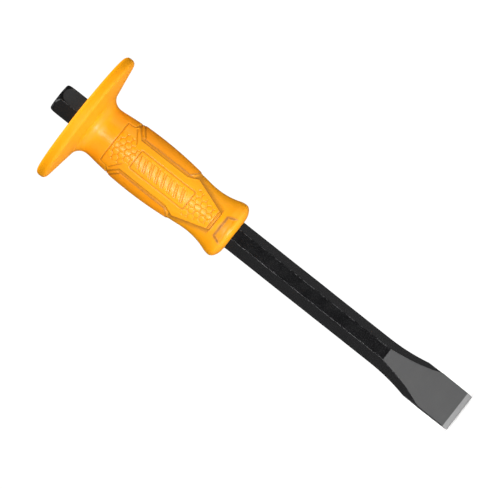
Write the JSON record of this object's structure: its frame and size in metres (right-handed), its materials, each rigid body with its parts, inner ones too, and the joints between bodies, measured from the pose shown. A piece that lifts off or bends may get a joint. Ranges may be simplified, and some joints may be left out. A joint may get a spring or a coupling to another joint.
{
  "type": "cold chisel",
  "caption": "Cold chisel: octagonal forged bar with a flared flat blade, ground edge and hexagonal head, moulded into a soft waisted grip with a round hand guard.",
  "frame": {"origin": "middle of the cutting edge", "axes": "+Z along the bar from the cutting edge to the striking face, X along the cutting edge, and the blade's broad faces look towards -Y and +Y"},
  "size_m": [0.087, 0.087, 0.3],
  "materials": {
    "blackened_steel": "black satin coat, bare ground steel on the blade faces and the edge bevels",
    "soft_orange_plastic": "soft satin moulded plastic with relief grooves and a honeycomb texture"
  },
  "bodies": {
    "root": {"chisel_bar": "blackened_steel", "guard_grip": "soft_orange_plastic"}
  },
  "joints": []
}
